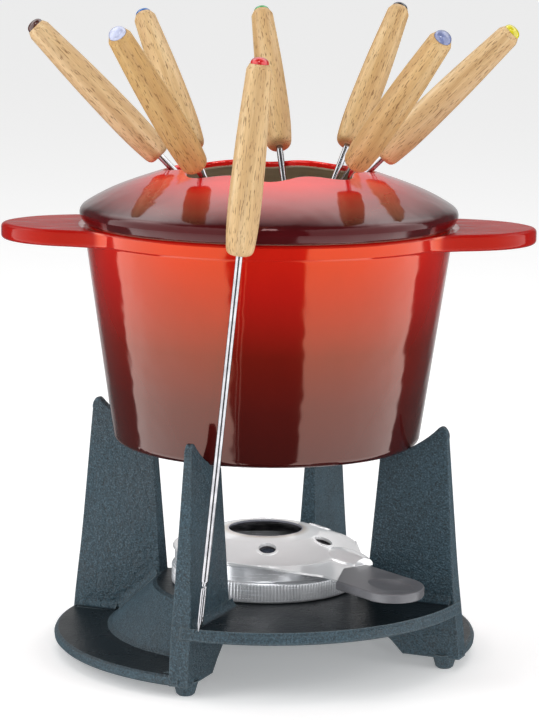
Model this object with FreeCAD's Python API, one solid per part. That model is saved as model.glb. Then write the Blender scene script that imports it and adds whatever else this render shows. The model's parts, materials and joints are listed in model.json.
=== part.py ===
import FreeCAD, Part
import math
import os

# Cast-iron fondue set: stand with spirit burner, enamelled pot, splash guard
# and eight long forks.
# Frame: +Z up, origin on the table under the pot's axis, +X towards the right
# handle, -Y towards the front. Azimuths are measured from +X towards +Y.
# All sizes are in millimetres and all angles in degrees.

V = FreeCAD.Vector
UP = V(0, 0, 1)
GAP = 0.05                      # resting gap between pieces that sit on each other

# ---- stand: one casting ------------------------------------------------------
FIN_AZIMUTHS = (-22.5, 67.5, 157.5, 247.5)
TRAY_AZIMUTH = -112.5           # the raised tray fills the quarter from here
FOOT_HEIGHT = 5.8               # from the table to the underside of the ledge
FOOT_RADIUS_TOP = 6.2
FOOT_RADIUS_BOTTOM = 4.4
FOOT_CENTRE = 95.5
LEDGE_THICKNESS = 5.2
LEDGE_INNER = 78.5
LEDGE_OUTER = 105.0
TRAY_BOTTOM = 28.0
TRAY_TOP = 33.0
TRAY_OUTER = 103.0
TRAY_LIP_WIDTH = 1.6
TRAY_LIP_HEIGHT = 0.9
SEAT_RADIUS = 55.0              # flat round seat that carries the burner
FIN_BASE_THICKNESS = 10.0
FIN_TIP_THICKNESS = 3.4
FIN_TIP_HEIGHT = 119.4
FIN_TIP_RADIUS = 91.8
FIN_INNER_TOP = 60.8
FIN_INNER_HEIGHT = 102.6        # where the fin's inner edge meets its cradle
FIN_INNER_BASE = 55.5
FIN_CRADLE = ((71.5, 105.8), (75.9, 107.9), (84.5, 113.4))  # radius and height
FIN_WAIST = (98.4, 70.0)        # radius and height half-way up the outer edge
FIN_OUTER_BASE = 101.4          # outer edge's radius just above the tray
FIN_BACKSET = 0.4               # from the ledge's edge in to the fin's outer edge
WEB_RADIUS = 50.0               # the fins' webs reach in to here under the tray
STAND_COVE = 4.0                # hollow fillet where the fins leave the tray and apron
STAND_EDGE = 0.7                # rounding on the fins' long edges

# ---- pot -----------------------------------------------------------------
POT_BOTTOM = 105.6
POT_FLOOR_THICKNESS = 5.0
POT_WALL = 4.2
POT_FOOT_RADIUS = 75.2          # outside radius just above the bottom corner
POT_CORNER = 4.0
POT_TAPER = 0.1435              # radius gained per millimetre of height
POT_BAND_BOTTOM = 205.4
POT_BAND_RADIUS = 90.2
POT_RIM_TOP = 213.35
TAB_TOP = 212.4
TAB_THICKNESS = 8.0
TAB_REACH = 131.0
TAB_EDGE = 2.2
# Half outline of a tab, from where it flares into the band out to its nose.
TAB_OUTLINE = (
    (72.0, 53.5), (76.5, 47.8), (81.4, 42.8), (88.3, 38.9), (95.0, 36.6),
    (102.0, 34.6), (115.0, 28.2), (125.5, 17.0),
)
POT_INNER_CORNER = 8.0          # rounding between the wall and the floor inside

# ---- splash guard --------------------------------------------------------------
LID_SEAT = POT_RIM_TOP + GAP
LID_RADIUS = 92.5
LID_RIDGE = 219.2
LID_THICKNESS = 3.4
LID_PEAK = 241.6
# Radius and height of the points that shape the top face, from the rim inwards.
LID_SHOULDER = ((91.7, 220.9), (89.0, 223.1))
LID_DOME = ((81.0, 227.6), (71.0, 231.9), (60.0, 235.8), (50.0, 239.0), (38.0, LID_PEAK))
LID_UNDERSIDE_SHIFT = 1.6       # how far the underside lies nearer the axis
RING_INNER = 80.4               # locating ring inside the pot's mouth
RING_OUTER = 82.8
RING_DEPTH = 5.0
OPENING_CREST = 44.5            # opening radius at the eight wave crests
OPENING_NOTCH = 51.0            # opening radius at the eight fork notches
NOTCH_SHARPNESS = 1.15
NOTCH_COUNT = 8
OPENING_BEAD = 1.1
POINTS_PER_WAVE = 8

# ---- burner --------------------------------------------------------------------
CUP_BOTTOM = TRAY_TOP + GAP
CUP_BAND_RADIUS = 46.6
CUP_BAND_HEIGHT = 10.4
CUP_BODY_RADIUS = 45.0
CUP_TOP = 51.0
CUP_WALL = 1.0
CAN_RADIUS = 41.0               # loose fuel tin
CAN_MOUTH = 33.0
CAN_HEIGHT = 12.5
CAN_SHEET = 0.6
GEL_DEPTH = 10.0
PLATE_SHEET = 0.8               # fixed plate with air holes under the cover
COVER_BOTTOM = 51.2
COVER_RADIUS = 46.0
COVER_TOP = 60.4
COVER_SHEET = 1.0
CHIMNEY_RADIUS = 18.3
# Radius and height of the points that shape the cover's slope, from the chimney out.
COVER_SLOPE = ((CHIMNEY_RADIUS, COVER_TOP), (27.0, 59.0), (33.5, 56.9), (39.0, 54.7), (44.2, 52.4))
AIR_HOLE_RADIUS = 4.3
AIR_HOLE_CIRCLE = 32.5
AIR_HOLE_COUNT = 6
COLLAR_WIDTH = 1.1              # raised edge round each air hole
COLLAR_HEIGHT = 0.5
ARM_BOTTOM = 49.9
ARM_NECK = 64.0                 # where the arm's taper ends
ARM_END = 88.0
ARM_HALF_WIDTH = 13.5
ARM_ROOT = (22.0, 40.4)         # where the arm's taper starts, and half its width there
ARM_SLOPE = 2.5                 # fall towards the grip, in degrees
WING_HALF_SIZE = (19.0, 8.5, 5.5)
WING_CENTRE = (45.0, 15.5)
GRIP_AZIMUTH = -53.0
AIR_HOLE_OFFSET = 25.0          # first air hole, counted from the grip's azimuth
GRIP_TOP = 51.6
GRIP_THICKNESS = 4.4
GRIP_HALF_WIDTH = 16.5
GRIP_INNER = 60.0
GRIP_END = 117.0
DISH_HALF_SIZE = (14.0, 8.5, 1.4)
RIVET_RADIUS = 1.6
RIVET_SPACING = 13.0

# ---- forks ---------------------------------------------------------------------
SHAFT_RADIUS = 1.65
SHAFT_LENGTH = 177.0            # from the wooden handle to the points
TANG_LENGTH = 28.0
TINE_LENGTH = 24.0
TINE_RADIUS = 0.85
TINE_OFFSET = 2.3
HANDLE_LENGTH = 87.0
HANDLE_RADIUS = 7.5
HANDLE_END_RADIUS = 5.7
CAP_RADIUS = 4.2
CAP_HEIGHT = 3.0
CAP_PEG = 7.0
FIT_CLEARANCE = 0.05
NOTCH_REST_HEIGHT = 239.1       # where a shaft's axis crosses its notch
NOTCH_REST_INSET = 2.05         # from the notch's wall to that crossing
# One row per fork in the splash guard: azimuth of its notch, sideways place in
# the notch, lean from vertical, heading of its handle, bare shaft above the notch.
LEANING_FORKS = {
    "brown": (180.0, -4.2, 44.4, 178.4, 7.9),
    "white": (225.0, 3.1, 42.4, 233.6, 6.0),
    "blue": (135.0, 1.3, 42.7, 117.9, 9.0),
    "green": (90.0, -5.8, 41.3, 99.9, 8.9),
    "black": (45.0, -0.9, 40.3, 61.2, 11.7),
    "grey": (315.0, 3.3, 44.2, 308.2, 8.5),
    "yellow": (0.0, 2.0, 44.7, -7.2, 8.8),
}
# The eighth fork stands on the tray and leans on the splash guard's rim.
STANDING_FORK_TIP = V(-30.0, -96.4, TRAY_TOP + 0.3)
STANDING_FORK_TOP = V(-4.5, -102.0, 300.0)


def polar(radius, azimuth, height=0.0):
    """Return the point at this radius, azimuth and height."""
    angle = math.radians(azimuth)
    return V(radius * math.cos(angle), radius * math.sin(angle), height)


def turned(shape, azimuth):
    """Return the shape turned about the Z axis."""
    copy = shape.copy()
    copy.rotate(V(0, 0, 0), UP, azimuth)
    return copy


def polyline(points):
    """Return the straight edges that join these points in order."""
    return [Part.makeLine(a, b) for a, b in zip(points, points[1:])]


def curve_through(points):
    """Return one smooth edge through these points."""
    curve = Part.BSplineCurve()
    curve.interpolate(points)
    return curve.toShape()


def face_of(edges):
    """Return the flat face bounded by these edges."""
    return Part.Face(Part.Wire(Part.__sortEdges__(edges)))


def profile(points):
    """Return a flat face in the XZ plane from (radius, height) pairs."""
    corners = [V(r, 0, z) for r, z in points]
    return face_of(polyline(corners + corners[:1]))


def revolved(points, sweep=360.0):
    """Return the solid made by turning (radius, height) pairs about Z."""
    return profile(points).revolve(V(0, 0, 0), UP, sweep)


def box(x_range, y_range, z_range):
    """Return a box from three (low, high) pairs."""
    low = V(x_range[0], y_range[0], z_range[0])
    size = V(x_range[1], y_range[1], z_range[1]) - low
    return Part.makeBox(size.x, size.y, size.z, low)


# ---- stand -----------------------------------------------------------------


def fin_side_face():
    """Return a fin's outline seen from the side, in the XZ plane."""
    ledge_top = FOOT_HEIGHT + LEDGE_THICKNESS
    foot_edge = LEDGE_OUTER - FIN_BACKSET
    inner_top = V(FIN_INNER_TOP, 0, FIN_INNER_HEIGHT)
    tip_start = V(FIN_TIP_RADIUS - 1.2, 0, FIN_TIP_HEIGHT - 0.5)
    tip_end = V(FIN_TIP_RADIUS + 3.3, 0, FIN_TIP_HEIGHT - 6.0)
    cradle = curve_through([inner_top] + [V(r, 0, z) for r, z in FIN_CRADLE] + [tip_start])
    tip = curve_through([
        tip_start,
        V(FIN_TIP_RADIUS + 0.6, 0, FIN_TIP_HEIGHT),
        V(FIN_TIP_RADIUS + 2.6, 0, FIN_TIP_HEIGHT - 1.8),
        tip_end,
    ])
    outer = curve_through([
        tip_end,
        V(FIN_WAIST[0], 0, FIN_WAIST[1]),
        V(FIN_OUTER_BASE, 0, TRAY_TOP + 3.0),
        V(foot_edge - FIN_BACKSET, 0, ledge_top),
        V(foot_edge, 0, FOOT_HEIGHT),
    ])
    lower = polyline([
        V(foot_edge, 0, FOOT_HEIGHT),
        V(75.5, 0, FOOT_HEIGHT),
        V(70.0, 0, FOOT_HEIGHT + 5.6),
        V(WEB_RADIUS, 0, TRAY_BOTTOM - 0.4),
        V(WEB_RADIUS, 0, TRAY_TOP - 0.4),
        V(FIN_INNER_BASE, 0, TRAY_TOP - 0.4),
        inner_top,
    ])
    return face_of([cradle, tip, outer] + lower)


def fin():
    """Return one fin along +X: its outline cut from a plate that thins upwards."""
    reach = 130.0
    plate = fin_side_face().extrude(V(0, FIN_BASE_THICKNESS + 2, 0))
    plate.translate(V(0, -(FIN_BASE_THICKNESS + 2) / 2, 0))
    base = FIN_BASE_THICKNESS / 2
    tip = FIN_TIP_THICKNESS / 2
    corners = [
        V(0, -base, 0), V(0, -base, TRAY_TOP), V(0, -tip, FIN_TIP_HEIGHT + 1),
        V(0, tip, FIN_TIP_HEIGHT + 1), V(0, base, TRAY_TOP), V(0, base, 0),
    ]
    taper = face_of(polyline(corners + corners[:1])).extrude(V(reach, 0, 0))
    body = plate.common(taper)
    long_edges = [
        edge for edge in body.Edges
        if edge.BoundBox.ZMin > TRAY_TOP - 1 and edge.BoundBox.ZLength > 6
    ]
    return body.Solids[0].makeFillet(STAND_EDGE, long_edges)


def ledge_quarter():
    """Return a quarter with the low ledge, its sloping apron and the burner seat."""
    ledge_top = FOOT_HEIGHT + LEDGE_THICKNESS
    return revolved([
        (0, TRAY_TOP), (SEAT_RADIUS - 1, TRAY_TOP), (SEAT_RADIUS + 1, TRAY_TOP - 1),
        (LEDGE_INNER - 2.5, ledge_top + 2.0), (LEDGE_INNER, ledge_top + 0.5),
        (LEDGE_INNER + 3.5, ledge_top), (LEDGE_OUTER - 2.0, ledge_top - 0.3),
        (LEDGE_OUTER - 0.6, ledge_top - 1.1), (LEDGE_OUTER, ledge_top - 2.4),
        (LEDGE_OUTER - 0.2, FOOT_HEIGHT + 1.0), (LEDGE_OUTER - 1.2, FOOT_HEIGHT),
        (LEDGE_INNER - 1.0, FOOT_HEIGHT), (SEAT_RADIUS - 2.0, TRAY_BOTTOM),
        (0, TRAY_BOTTOM),
    ], 90.0)


def tray_quarter():
    """Return the quarter that carries the raised tray with its shallow lip."""
    slab = revolved([
        (0, TRAY_TOP), (TRAY_OUTER - 0.8, TRAY_TOP), (TRAY_OUTER, TRAY_TOP - 0.8),
        (TRAY_OUTER + 0.6, TRAY_BOTTOM + 0.8), (TRAY_OUTER - 0.2, TRAY_BOTTOM),
        (0, TRAY_BOTTOM),
    ], 90.0)
    lip_radius = TRAY_OUTER - TRAY_LIP_WIDTH
    lip = revolved([
        (lip_radius, TRAY_TOP - 1), (lip_radius + 0.3, TRAY_TOP + TRAY_LIP_HEIGHT),
        (TRAY_OUTER - 0.9, TRAY_TOP + TRAY_LIP_HEIGHT), (TRAY_OUTER - 0.1, TRAY_TOP - 1),
    ], 90.0)
    return slab.fuse(lip)


def cove(length):
    """Return a hollow fillet along +X for the corner of the Y = 0 and Z = 0 planes."""
    size = STAND_COVE
    sunk = -0.5
    slant = size * (1 - math.sqrt(0.5))
    hollow = Part.Arc(V(0, size, 0), V(0, slant, slant), V(0, 0, size)).toShape()
    corners = [V(0, 0, size), V(0, sunk, size), V(0, sunk, sunk), V(0, size, sunk), V(0, size, 0)]
    return face_of([hollow] + polyline(corners)).extrude(V(length, 0, 0))


def fin_coves(side, on_tray):
    """Return the hollow fillets along one side of a fin along +X."""
    ledge_top = FOOT_HEIGHT + LEDGE_THICKNESS
    if on_tray:
        runs = [(V(SEAT_RADIUS - 3, 0, TRAY_TOP), V(TRAY_OUTER - 3.5, 0, TRAY_TOP))]
    else:
        runs = [
            (V(SEAT_RADIUS + 1, 0, TRAY_TOP - 1), V(LEDGE_INNER - 1.5, 0, ledge_top + 1.1)),
            (V(LEDGE_INNER + 1.0, 0, ledge_top), V(LEDGE_OUTER - 4.5, 0, ledge_top)),
        ]
    coves = []
    for start, end in runs:
        run = end - start
        piece = cove(run.Length)
        piece.rotate(V(0, 0, 0), V(0, 1, 0), math.degrees(math.atan2(-run.z, run.x)))
        piece.translate(start + V(0, FIN_BASE_THICKNESS / 2, 0))
        if side < 0:
            piece = piece.mirror(V(0, 0, 0), V(0, 1, 0))
        coves.append(piece)
    return coves


def pot_seat():
    """Return the pot's outside, swollen by the resting gap, to cut the fins' seats."""
    corner = POT_BOTTOM + POT_CORNER
    reach = pot_radius(corner) + GAP
    size = POT_CORNER + GAP
    slant = size * (1 - math.sqrt(0.5))
    top = POT_BOTTOM + 30
    bend = Part.Arc(
        V(reach - size, 0, POT_BOTTOM - GAP), V(reach - slant, 0, POT_BOTTOM - GAP + slant),
        V(reach, 0, corner)).toShape()
    outline = polyline([
        V(reach, 0, corner), V(pot_radius(top) + GAP, 0, top), V(0, 0, top),
        V(0, 0, POT_BOTTOM - GAP), V(reach - size, 0, POT_BOTTOM - GAP),
    ])
    return face_of([bend] + outline).revolve(V(0, 0, 0), UP, 360)


def foot():
    """Return one tapered foot, centred on the Z axis."""
    return revolved([
        (0, 0), (FOOT_RADIUS_BOTTOM - 1.0, 0), (FOOT_RADIUS_BOTTOM, 0.9),
        (FOOT_RADIUS_TOP, FOOT_HEIGHT + 1.5), (0, FOOT_HEIGHT + 1.5),
    ])


def stand():
    """Return the whole stand as one solid."""
    body = turned(tray_quarter(), TRAY_AZIMUTH)
    for step in range(1, 4):
        body = body.fuse(turned(ledge_quarter(), TRAY_AZIMUTH + 90.0 * step))
    tray_sides = {(TRAY_AZIMUTH + 360.0, 1), (TRAY_AZIMUTH + 90.0, -1)}
    for azimuth in FIN_AZIMUTHS:
        body = body.fuse(turned(fin(), azimuth))
        for side in (1, -1):
            for piece in fin_coves(side, (azimuth, side) in tray_sides):
                body = body.fuse(turned(piece, azimuth))
        post = foot()
        post.translate(polar(FOOT_CENTRE, azimuth))
        body = body.fuse(post)
    return body.cut(pot_seat()).removeSplitter()


# ---- pot -------------------------------------------------------------------


def pot_radius(height):
    """Return the pot's outside radius at this height, below the band."""
    return POT_FOOT_RADIUS + (height - POT_BOTTOM) * POT_TAPER


def pot_tab():
    """Return one flat handle tab along +X."""
    side = [V(x, y, 0) for x, y in TAB_OUTLINE]
    nose = [V(TAB_REACH, 0, 0)]
    mirrored = [V(p.x, -p.y, 0) for p in reversed(side)]
    outline = curve_through(side + nose + mirrored)
    back = Part.makeLine(side[0], mirrored[-1])
    tab = face_of([outline, back]).extrude(V(0, 0, TAB_THICKNESS))
    tab.translate(V(0, 0, TAB_TOP - TAB_THICKNESS))
    rounded = [
        edge for edge in tab.Edges
        if edge.BoundBox.XMax > TAB_REACH - 11 and edge.BoundBox.ZLength < 0.1
    ]
    return tab.makeFillet(TAB_EDGE, rounded)


def pot():
    """Return the pot with both handle tabs."""
    corner = POT_BOTTOM + POT_CORNER
    slant = POT_CORNER * (1 - math.sqrt(0.5))
    inner_floor = POT_BOTTOM + POT_FLOOR_THICKNESS
    inner_slant = POT_INNER_CORNER * (1 - math.sqrt(0.5))
    inner_foot = pot_radius(inner_floor + POT_INNER_CORNER) - POT_WALL
    rim_inner = POT_BAND_RADIUS - 4.8
    outer_corner = Part.Arc(
        V(pot_radius(corner) - POT_CORNER, 0, POT_BOTTOM),
        V(pot_radius(corner) - slant, 0, POT_BOTTOM + slant),
        V(pot_radius(corner), 0, corner)).toShape()
    cavity_corner = Part.Arc(
        V(inner_foot, 0, inner_floor + POT_INNER_CORNER),
        V(inner_foot - inner_slant, 0, inner_floor + inner_slant),
        V(inner_foot - POT_INNER_CORNER, 0, inner_floor)).toShape()
    rim = [
        V(pot_radius(corner), 0, corner),
        V(pot_radius(POT_BAND_BOTTOM - 0.6), 0, POT_BAND_BOTTOM - 0.6),
        V(POT_BAND_RADIUS - 0.6, 0, POT_BAND_BOTTOM),
        V(POT_BAND_RADIUS, 0, POT_BAND_BOTTOM + 0.8),
        V(POT_BAND_RADIUS, 0, TAB_TOP - 1.0),
        V(POT_BAND_RADIUS - 0.7, 0, TAB_TOP - 0.2),
        V(POT_BAND_RADIUS - 2.2, 0, POT_RIM_TOP),
        V(POT_BAND_RADIUS - 4.0, 0, POT_RIM_TOP),
        V(rim_inner, 0, POT_RIM_TOP - 0.9),
        V(inner_foot, 0, inner_floor + POT_INNER_CORNER),
    ]
    floor = polyline([
        V(inner_foot - POT_INNER_CORNER, 0, inner_floor), V(0, 0, inner_floor),
        V(0, 0, POT_BOTTOM), V(pot_radius(corner) - POT_CORNER, 0, POT_BOTTOM),
    ])
    section = face_of([outer_corner, cavity_corner] + polyline(rim) + floor)
    vessel = section.revolve(V(0, 0, 0), UP, 360)
    low = inner_floor + 20
    hollow = revolved([
        (0, low), (pot_radius(low) - POT_WALL, low),
        (rim_inner, POT_RIM_TOP - 0.9), (rim_inner, POT_RIM_TOP + 5), (0, POT_RIM_TOP + 5),
    ])
    tabs = pot_tab().fuse(turned(pot_tab(), 180))
    return vessel.fuse(tabs.cut(hollow)).removeSplitter()


# ---- splash guard ------------------------------------------------------------


def opening_radius(angle):
    """Return the opening's radius in this direction, in radians from a notch."""
    wave = (1 + math.cos(NOTCH_COUNT * angle)) / 2
    return OPENING_CREST + (OPENING_NOTCH - OPENING_CREST) * wave ** NOTCH_SHARPNESS


def opening_tool():
    """Return the wavy prism that cuts the opening."""
    count = NOTCH_COUNT * POINTS_PER_WAVE
    points = []
    for step in range(count):
        angle = 2 * math.pi * step / count
        radius = opening_radius(angle)
        points.append(V(radius * math.cos(angle), radius * math.sin(angle), 0))
    curve = Part.BSplineCurve()
    curve.interpolate(points, PeriodicFlag=True)
    prism = Part.Face(Part.Wire(curve.toShape())).extrude(V(0, 0, 60))
    prism.translate(V(0, 0, LID_SEAT))
    return prism


def lid():
    """Return the splash guard with its rim, locating ring and wavy opening."""
    edge_point = V(LID_RADIUS, 0, LID_RIDGE - 0.4)
    dome = [edge_point] + [V(r, 0, z) for r, z in LID_SHOULDER + LID_DOME]
    under = [V(r - LID_UNDERSIDE_SHIFT, 0, z - LID_THICKNESS) for r, z in LID_DOME]
    inner_step = V(86.0, 0, LID_RIDGE - 0.6)
    rim = polyline([
        inner_step, V(85.9, 0, LID_SEAT), V(LID_RADIUS - 2.4, 0, LID_SEAT),
        V(LID_RADIUS - 1.6, 0, LID_SEAT + 0.8), V(LID_RADIUS, 0, LID_RIDGE - 1.6),
        edge_point,
    ])
    end_wall = Part.makeLine(dome[-1], under[-1])
    inner_curve = curve_through([inner_step] + under)
    section = face_of([curve_through(dome), end_wall, inner_curve] + rim)
    shell = section.revolve(V(0, 0, 0), UP, 360)
    ring_bottom = LID_SEAT - RING_DEPTH
    ring = revolved([
        (RING_INNER, LID_RIDGE + 4.5), (RING_INNER, ring_bottom), (RING_OUTER, ring_bottom),
        (RING_OUTER + 0.4, LID_SEAT), (87.0, LID_SEAT), (87.0, LID_RIDGE + 1.0),
    ])
    body = shell.fuse(ring).cut(opening_tool()).removeSplitter()
    edges = [edge for edge in body.Edges if edge.BoundBox.XMax < OPENING_NOTCH + 1]
    long_edges = [edge for edge in edges if edge.Length > 4]
    return body.Solids[0].makeFillet(OPENING_BEAD, long_edges)


# ---- burner --------------------------------------------------------------------


def burner_cup():
    """Return the cup with its gripping band round the foot."""
    band_top = CUP_BOTTOM + CUP_BAND_HEIGHT
    floor = CUP_BOTTOM + CUP_WALL
    return revolved([
        (0, CUP_BOTTOM), (CUP_BAND_RADIUS - 0.8, CUP_BOTTOM),
        (CUP_BAND_RADIUS, CUP_BOTTOM + 0.8), (CUP_BAND_RADIUS, band_top - 0.6),
        (CUP_BAND_RADIUS - 0.6, band_top), (CUP_BODY_RADIUS, band_top + 0.2),
        (CUP_BODY_RADIUS, CUP_TOP - 0.5), (CUP_BODY_RADIUS - 0.5, CUP_TOP),
        (CUP_BODY_RADIUS - CUP_WALL, CUP_TOP), (CUP_BODY_RADIUS - CUP_WALL, floor),
        (0, floor),
    ])


def fuel_can():
    """Return the loose tin that holds the fuel."""
    bottom = CUP_BOTTOM + CUP_WALL + GAP
    top = bottom + CAN_HEIGHT
    inside = CAN_RADIUS - CAN_SHEET
    return revolved([
        (0, bottom), (CAN_RADIUS - 1.0, bottom), (CAN_RADIUS, bottom + 1.0), (CAN_RADIUS, top),
        (CAN_MOUTH, top), (CAN_MOUTH, top - CAN_SHEET), (inside, top - CAN_SHEET),
        (inside, bottom + CAN_SHEET), (0, bottom + CAN_SHEET),
    ])


def fuel_gel():
    """Return the set fuel in the tin."""
    bottom = CUP_BOTTOM + CUP_WALL + GAP + CAN_SHEET + GAP
    top = bottom + GEL_DEPTH
    radius = CAN_RADIUS - CAN_SHEET - 2 * GAP
    return revolved([(0, bottom), (radius, bottom), (radius, top), (0, top)])


def cover_section(radius_shift, height_shift):
    """Return the cover's sloping face, shifted, as (radius, height) pairs."""
    return [(r + radius_shift, z + height_shift) for r, z in COVER_SLOPE]


def air_holes(radius=AIR_HOLE_RADIUS):
    """Return upright cylinders of this radius at the air holes."""
    holes = []
    for step in range(AIR_HOLE_COUNT):
        azimuth = GRIP_AZIMUTH + AIR_HOLE_OFFSET + 360.0 * step / AIR_HOLE_COUNT
        centre = polar(AIR_HOLE_CIRCLE, azimuth, 40)
        holes.append(Part.makeCylinder(radius, 40, centre))
    return Part.makeCompound(holes)


def air_hole_collars():
    """Return the raised edges round the cover's air holes, before the holes are cut."""
    raised = cover_section(0, COLLAR_HEIGHT)
    sunk = cover_section(0, -COVER_SHEET / 2)
    band = revolved(raised + list(reversed(sunk)))
    return band.common(air_holes(AIR_HOLE_RADIUS + COLLAR_WIDTH))


def air_plate():
    """Return the fixed plate under the cover, with holes that match it."""
    top = cover_section(0, -COVER_SHEET - 0.3)
    top[0] = (CHIMNEY_RADIUS + 1.4, top[0][1] - 0.2)
    bottom = [(r, z - PLATE_SHEET) for r, z in reversed(top)]
    rim = CUP_BODY_RADIUS - CUP_WALL - GAP
    seat = [
        (rim, CUP_TOP - 0.4), (rim, CUP_TOP - 2.2),
        (rim - PLATE_SHEET, CUP_TOP - 2.2), (rim - PLATE_SHEET, CUP_TOP - 1.2),
    ]
    return revolved(top[:-1] + seat + bottom[1:]).cut(air_holes())


def cover_shell():
    """Return the turning cover's round part."""
    top = cover_section(0, 0)
    bottom = cover_section(0, -COVER_SHEET)
    lip = [(CHIMNEY_RADIUS, COVER_TOP - COVER_SHEET), (CHIMNEY_RADIUS, COVER_TOP)]
    flange = [
        (45.4, COVER_BOTTOM + 0.9), (COVER_RADIUS, COVER_BOTTOM + 0.5),
        (COVER_RADIUS, COVER_BOTTOM), (43.9, COVER_BOTTOM),
    ]
    return revolved(lip[1:] + top[1:] + flange + list(reversed(bottom[:-1])))


def arm_plate(swell=0.0):
    """Return the arm's flat strip along +X, swollen all round when asked."""
    root, root_half = ARM_ROOT
    neck = ARM_HALF_WIDTH + swell
    end = ARM_END + swell
    end_half = neck - 3.0
    corners = [
        V(root, root_half, 0), V(ARM_NECK, neck, 0), V(end, end_half, 0),
        V(end, -end_half, 0), V(ARM_NECK, -neck, 0), V(root, -root_half, 0),
    ]
    plate = face_of(polyline(corners + corners[:1])).extrude(V(0, 0, COVER_SHEET + 2 * swell))
    plate.translate(V(0, 0, ARM_BOTTOM - swell))
    plate.rotate(V(ARM_NECK, 0, ARM_BOTTOM), V(0, 1, 0), ARM_SLOPE)
    return plate.cut(Part.makeCylinder(COVER_RADIUS - 0.6, 40, V(0, 0, 30)))


def arm_wing():
    """Return the raised wing on the arm's left side, outside the cover."""
    wing = Part.makeSphere(1.0)
    stretch = FreeCAD.Matrix()
    stretch.scale(*WING_HALF_SIZE)
    wing = wing.transformGeometry(stretch)
    wing.translate(V(WING_CENTRE[0], WING_CENTRE[1], COVER_BOTTOM - 0.6))
    core = cover_section(-0.2, -COVER_SHEET)
    wall = COVER_RADIUS - 0.6
    keep_out = revolved([(0, 40), (0, core[0][1])] + core + [(wall, COVER_BOTTOM), (wall, 40)])
    above = box((30, GRIP_INNER - 1), (-60, 60), (COVER_BOTTOM - 0.9, 70))
    return wing.common(above).cut(keep_out)


def cover_arm():
    """Return the tapering arm that leaves the cover along +X."""
    return arm_plate().fuse(arm_wing())


def regulator_cover():
    """Return the turning cover with its arm and air holes."""
    arm = turned(cover_arm(), GRIP_AZIMUTH)
    body = cover_shell().fuse(arm).fuse(air_hole_collars()).cut(air_holes())
    sleeve = Part.makeCylinder(CHIMNEY_RADIUS - 0.1, 30, V(0, 0, 45))
    return body.cut(sleeve).removeSplitter()


def grip_outline():
    """Return the grip's outline along +X."""
    half = GRIP_HALF_WIDTH
    straight = polyline([
        V(GRIP_END - 20, half, 0), V(GRIP_INNER, half, 0), V(GRIP_INNER, 2, 0),
        V(GRIP_INNER + 18, -half, 0), V(GRIP_END - 14, -half, 0),
    ])
    end = curve_through([
        V(GRIP_END - 14, -half, 0), V(GRIP_END - 4, -half * 0.72, 0),
        V(GRIP_END, -half * 0.15, 0), V(GRIP_END - 5, half * 0.55, 0),
        V(GRIP_END - 20, half, 0),
    ])
    return straight + [end]


def rivet_shanks(radius):
    """Return the two upright cylinders that the rivets fill, at this radius."""
    shanks = []
    for offset in (RIVET_SPACING / 2, -RIVET_SPACING / 2):
        foot_point = V(GRIP_INNER + 21, offset, GRIP_TOP - GRIP_THICKNESS - 0.6)
        shanks.append(Part.makeCylinder(radius, 3.5, foot_point))
    return shanks


def regulator_grip():
    """Return the heat-proof grip with the slot for the arm and the rivet holes."""
    body = face_of(grip_outline()).extrude(V(0, 0, GRIP_THICKNESS))
    rounded = [edge for edge in body.Edges if edge.BoundBox.ZLength < 0.1]
    body = body.makeFillet(1.0, rounded)
    body.translate(V(0, 0, GRIP_TOP - GRIP_THICKNESS))
    dish = Part.makeSphere(1.0)
    stretch = FreeCAD.Matrix()
    stretch.scale(*DISH_HALF_SIZE)
    dish = dish.transformGeometry(stretch)
    dish.translate(V(GRIP_END - 18.5, 0, GRIP_TOP + 0.3))
    body = body.cut(dish).cut(arm_plate(FIT_CLEARANCE))
    for hole in rivet_shanks(RIVET_RADIUS + FIT_CLEARANCE):
        body = body.cut(hole)
    return turned(body, GRIP_AZIMUTH)


def grip_rivets():
    """Return the two rivets under the grip."""
    shanks = [shank.cut(arm_plate(FIT_CLEARANCE)) for shank in rivet_shanks(RIVET_RADIUS)]
    return Part.makeCompound([turned(shank, GRIP_AZIMUTH) for shank in shanks])


# ---- forks -----------------------------------------------------------------


def tine(side):
    """Return one prong, from the shaft's end down to its point."""
    start = -(SHAFT_LENGTH - TINE_LENGTH) + 2.0
    tip = -SHAFT_LENGTH
    offset = side * TINE_OFFSET
    bend = curve_through([
        V(0, side * 0.75, start), V(0, offset * 0.45, start - 3.0),
        V(0, offset * 0.93, start - 7.0), V(0, offset, start - 10.0),
    ])
    profile_wire = Part.Wire(Part.makeCircle(TINE_RADIUS, V(0, side * 0.75, start), UP))
    upper = Part.Wire(bend).makePipeShell([profile_wire], True, True)
    bottom = start - 10.0
    straight = Part.makeCylinder(TINE_RADIUS, bottom - tip - 4.0, V(0, offset, tip + 4.0))
    point = Part.makeCone(0.12, TINE_RADIUS, 4.0, V(0, offset, tip))
    barb = Part.makeCone(0.05, 0.75, 3.2, V(0, offset - side * 0.75, tip + 3.0))
    return upper.fuse(straight).fuse(point).fuse(barb)


def fork_shaft():
    """Return the shaft with two prongs, hanging down from the origin."""
    split = SHAFT_LENGTH - TINE_LENGTH
    rod = Part.makeCylinder(SHAFT_RADIUS, split, V(0, 0, -split))
    tang = Part.makeCylinder(SHAFT_RADIUS - FIT_CLEARANCE, TANG_LENGTH, V(0, 0, -0.5))
    crotch = Part.makeSphere(SHAFT_RADIUS, V(0, 0, -split))
    body = rod.fuse(tang).fuse(crotch)
    for side in (1, -1):
        body = body.fuse(tine(side))
    return body.removeSplitter()


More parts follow.
